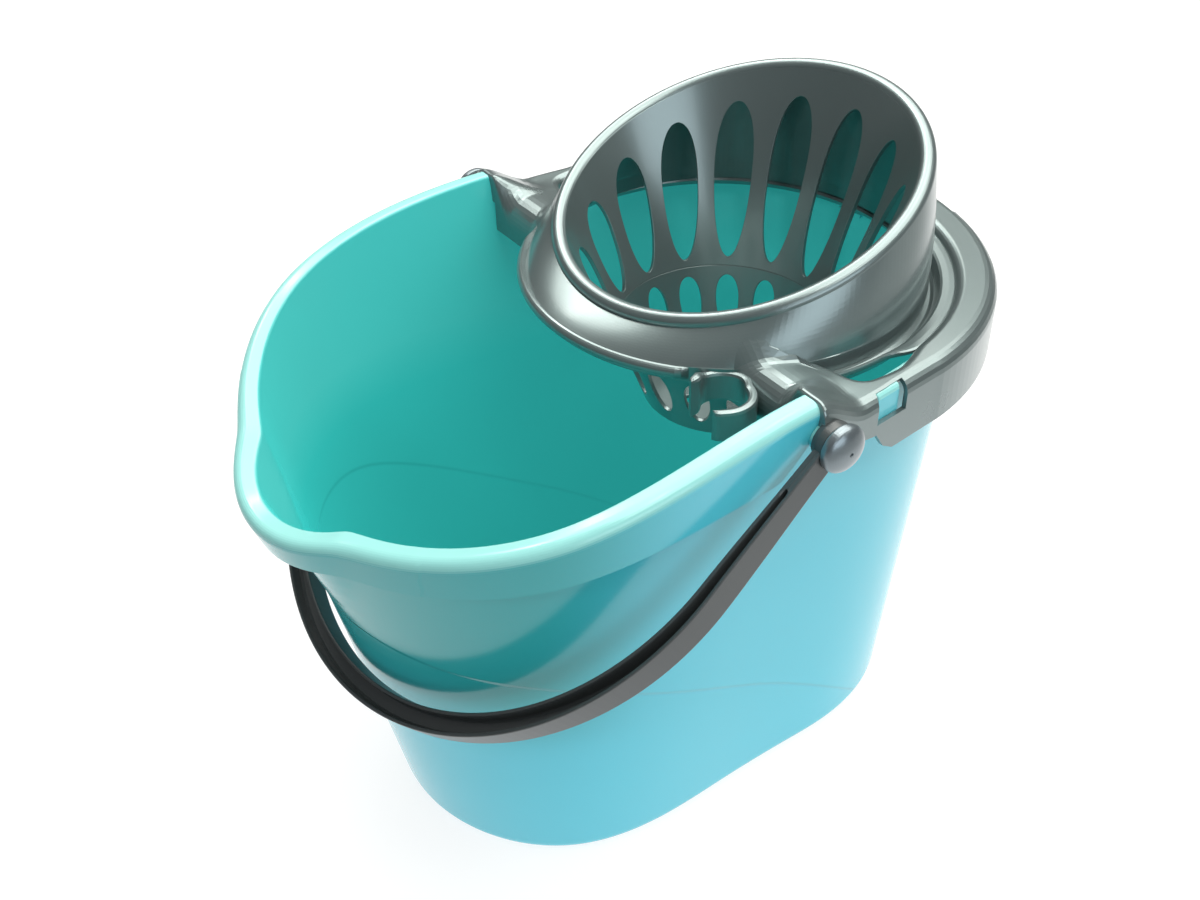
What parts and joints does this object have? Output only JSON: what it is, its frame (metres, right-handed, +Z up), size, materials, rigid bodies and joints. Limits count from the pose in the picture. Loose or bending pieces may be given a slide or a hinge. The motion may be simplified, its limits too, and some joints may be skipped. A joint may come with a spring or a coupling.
{
  "type": "mop bucket with wringer",
  "caption": "Oval plastic mop bucket with a pouring lip, a swinging bail handle and a clip-on slotted cone wringer with a mop-pole clip.",
  "frame": {"origin": "on the floor under the bail's pivot axis, half way between the two pivots", "axes": "+Z up, -Y towards the pouring lip, +Y towards the wringer, +X towards the side with the mop-pole clip"},
  "size_m": [0.3182, 0.4198, 0.3606],
  "materials": {
    "tub_plastic": "satin moulded, light turquoise",
    "wringer_plastic": "semi-gloss, silver grey with fine metal flake",
    "bail_plastic": "satin charcoal",
    "pin_plastic": "satin charcoal"
  },
  "bodies": {
    "tub": {"tub": "tub_plastic", "pivot_pin_right": "pin_plastic", "pivot_pin_left": "pin_plastic"},
    "bail": {"bail_handle": "bail_plastic"},
    "wringer": {"wringer": "wringer_plastic"}
  },
  "joints": [
    {"name": "bail_swing", "type": "hinge", "parent": "tub", "child": "bail", "pos_m": [0, 0, 0.28], "axis": [-1, 0, 0], "range_deg": [0, 250]},
    {"name": "wringer_lift", "type": "slide", "parent": "tub", "child": "wringer", "axis": [0, 0, 1], "range_m": [0, 0.25]}
  ]
}
